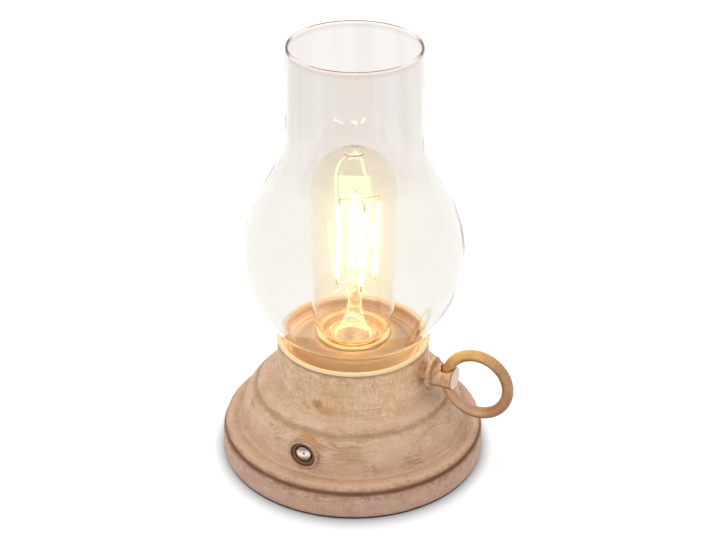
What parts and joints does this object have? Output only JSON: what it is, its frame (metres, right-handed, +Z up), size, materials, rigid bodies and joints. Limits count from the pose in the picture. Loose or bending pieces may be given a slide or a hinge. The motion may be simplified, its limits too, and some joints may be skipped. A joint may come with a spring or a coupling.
{
  "type": "lantern table lamp",
  "caption": "Cordless lantern table lamp: stepped round metal base with a push button and a ring handle, lift-off clear chimney, screw-in tubular filament lamp.",
  "frame": {"origin": "lamp axis on the table, at the centre of the foot pad's underside", "axes": "+Z up along the lamp axis; the push button faces -Y and the ring handle points to +X"},
  "size_m": [0.1661, 0.1451, 0.239],
  "materials": {
    "base_paint": "brushed copper-gold paint, distressed",
    "plate_paint": "matt black powder coat",
    "zinc_steel": "bright zinc plated",
    "foot_foam": "matt closed-cell foam",
    "gallery_brass": "satin lacquered",
    "chimney_glass": "clear blown glass, fire-polished rim",
    "holder_brass": "bright",
    "holder_plastic": "matt moulded",
    "cap_metal": "pale gold passivated",
    "cap_glass": "black vitreous",
    "amber_glass": "clear glass with an amber tint",
    "stem_glass": "clear pressed glass",
    "lit_filament": "lit phosphor coating",
    "ring_brass": "antique, worn",
    "stud_paint": "brushed copper-gold paint",
    "bezel_bronze": "dark bronze, glossy",
    "button_chrome": "polished",
    "switch_plastic": "matt moulded",
    "cell_wrap": "shrink wrap",
    "tray_plastic": "matt moulded",
    "board_green": "solder mask",
    "chip_black": "matt moulded",
    "socket_steel": "bright",
    "port_rubber": "matt",
    "lead_wire": "wire insulation"
  },
  "bodies": {
    "base": {"base_shell": "base_paint", "base_plate": "plate_paint", "plate_posts": "zinc_steel", "plate_screws": "zinc_steel", "foot_pad": "foot_foam", "gallery_cup": "gallery_brass", "shade_ring": "holder_brass", "lampholder_body": "holder_plastic", "lampholder_shell": "holder_brass", "lampholder_contact": "holder_brass", "lampholder_nipple": "zinc_steel", "bridge_bar": "zinc_steel", "bridge_nut": "zinc_steel", "handle_stud": "stud_paint", "handle_flange": "stud_paint", "handle_spacer": "stud_paint", "handle_nut": "zinc_steel", "button_bush": "base_paint", "button_bezel": "bezel_bronze", "switch_body": "switch_plastic", "switch_nut": "zinc_steel", "battery_cells": "cell_wrap", "battery_tray": "tray_plastic", "battery_contacts": "zinc_steel", "driver_board": "board_green", "board_components": "chip_black", "board_standoffs": "holder_brass", "charge_socket": "socket_steel", "charge_port_frame": "port_rubber", "lamp_leads": "lead_wire", "switch_leads": "lead_wire", "battery_leads": "lead_wire"},
    "chimney": {"glass_chimney": "chimney_glass"},
    "bulb_tip": {"bulb_contact": "cap_metal", "bulb_insulator": "cap_glass"},
    "bulb": {"bulb_cap": "cap_metal", "bulb_glass": "amber_glass", "bulb_stem": "stem_glass", "bulb_filaments": "lit_filament", "bulb_wires": "cap_metal"},
    "carrying_ring": {"handle_ring": "ring_brass"},
    "button": {"button_cap": "button_chrome"}
  },
  "joints": [
    {"name": "chimney_lift", "type": "slide", "parent": "base", "child": "chimney", "axis": [0, 0, 1], "range_m": [0, 0.15]},
    {"name": "bulb_lift", "type": "slide", "parent": "base", "child": "bulb_tip", "axis": [0, 0, 1], "range_m": [0, 0.0182]},
    {"name": "bulb_turn", "type": "hinge", "parent": "bulb_tip", "child": "bulb", "pos_m": [0, 0, 0.06], "axis": [0, 0, 1], "range_deg": [0, 1800]},
    {"name": "handle_swivel", "type": "hinge", "parent": "base", "child": "carrying_ring", "pos_m": [0.0556, 0, 0.0586], "axis": [0, 0, 1], "range_deg": [-60, 60]},
    {"name": "button_press", "type": "slide", "parent": "base", "child": "button", "axis": [0, 1, 0], "range_m": [0, 0.0008], "stiffness_N_per_m": 1500, "springref_m": -0.0003}
  ],
  "couplings": [
    {"joint": "bulb_lift", "follows": "bulb_turn", "m_per_rad": 0.00057757}
  ]
}
